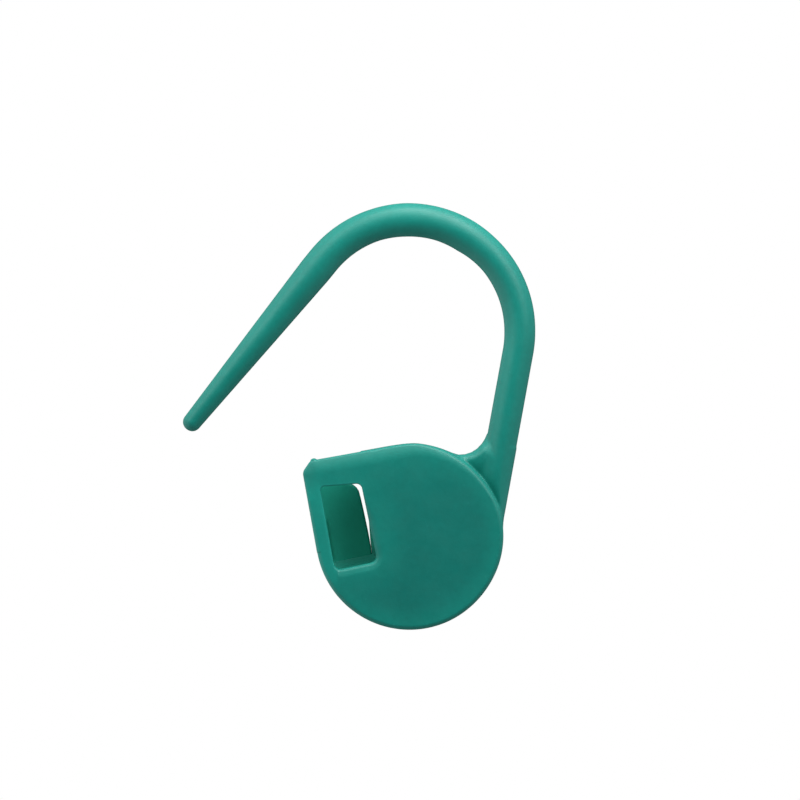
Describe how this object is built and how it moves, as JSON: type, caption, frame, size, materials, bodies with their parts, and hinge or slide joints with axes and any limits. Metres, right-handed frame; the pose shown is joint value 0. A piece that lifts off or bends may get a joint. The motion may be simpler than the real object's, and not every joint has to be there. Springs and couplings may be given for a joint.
{
  "type": "locking stitch marker",
  "caption": "Small moulded plastic locking ring for marking knitting: a flat round head with a windowed slot, and a springy open bow whose tapered pin swings into the slot.",
  "frame": {"origin": "centre of the round head on its flat back face, which is the face the marker lies on", "axes": "+Z out of the front face that has the window; +Y from the head towards the bow, along the head's straight sides; +X to the side the bow's leg stands on"},
  "size_m": [0.0192, 0.022, 0.0032],
  "materials": {
    "green_plastic": "satin moulded"
  },
  "bodies": {
    "head": {"head_body": "green_plastic", "window_top_bar": "green_plastic", "window_side_bar": "green_plastic", "bow_root": "green_plastic", "bow_leg": "green_plastic"},
    "latch": {"latch_tongue": "green_plastic"},
    "link_1": {"bow_link_1": "green_plastic"},
    "link_2": {"bow_link_2": "green_plastic"},
    "link_3": {"bow_link_3": "green_plastic"},
    "link_4": {"bow_link_4": "green_plastic"},
    "link_5": {"bow_link_5": "green_plastic"},
    "link_6": {"bow_link_6": "green_plastic"},
    "pin": {"pin_shaft": "green_plastic", "pin_tip": "green_plastic"}
  },
  "joints": [
    {"name": "latch_flex", "type": "hinge", "parent": "head", "child": "latch", "pos_m": [-0.00308, -0.00101, 0.00055], "axis": [-1, 0, 0], "range_deg": [0, 2.5], "stiffness_Nm_per_rad": 0.053},
    {"name": "bow_flex_1", "type": "hinge", "parent": "head", "child": "link_1", "pos_m": [0.00729, 0.00847, 0.0016], "axis": [0, 0, 1], "range_deg": [-1.1, 2.98], "stiffness_Nm_per_rad": 0.00005},
    {"name": "bow_flex_2", "type": "hinge", "parent": "link_1", "child": "link_2", "pos_m": [0.00764, 0.01098, 0.0016], "axis": [0, 0, 1], "range_deg": [-1.61, 4.36], "stiffness_Nm_per_rad": 0.00005},
    {"name": "bow_flex_3", "type": "hinge", "parent": "link_2", "child": "link_3", "pos_m": [0.00689, 0.01339, 0.0016], "axis": [0, 0, 1], "range_deg": [-2.1, 5.67], "stiffness_Nm_per_rad": 0.00005},
    {"name": "bow_flex_4", "type": "hinge", "parent": "link_3", "child": "link_4", "pos_m": [0.00517, 0.01526, 0.0016], "axis": [0, 0, 1], "range_deg": [-2.48, 6.69], "stiffness_Nm_per_rad": 0.00005},
    {"name": "bow_flex_5", "type": "hinge", "parent": "link_4", "child": "link_5", "pos_m": [0.00283, 0.01622, 0.0016], "axis": [0, 0, 1], "range_deg": [-2.67, 7.21], "stiffness_Nm_per_rad": 0.00005},
    {"name": "bow_flex_6", "type": "hinge", "parent": "link_5", "child": "link_6", "pos_m": [0.0003, 0.01609, 0.0016], "axis": [0, 0, 1], "range_deg": [-2.64, 7.14], "stiffness_Nm_per_rad": 0.00005},
    {"name": "bow_flex_7", "type": "hinge", "parent": "link_6", "child": "pin", "pos_m": [-0.00193, 0.01489, 0.0016], "axis": [0, 0, 1], "range_deg": [-2.4, 6.49], "stiffness_Nm_per_rad": 0.00005}
  ],
  "couplings": [
    {"joint": "bow_flex_2", "follows": "bow_flex_1", "ratio": 1.459},
    {"joint": "bow_flex_3", "follows": "bow_flex_1", "ratio": 1.901},
    {"joint": "bow_flex_4", "follows": "bow_flex_1", "ratio": 2.242},
    {"joint": "bow_flex_5", "follows": "bow_flex_1", "ratio": 2.417},
    {"joint": "bow_flex_6", "follows": "bow_flex_1", "ratio": 2.393},
    {"joint": "bow_flex_7", "follows": "bow_flex_1", "ratio": 2.174}
  ]
}
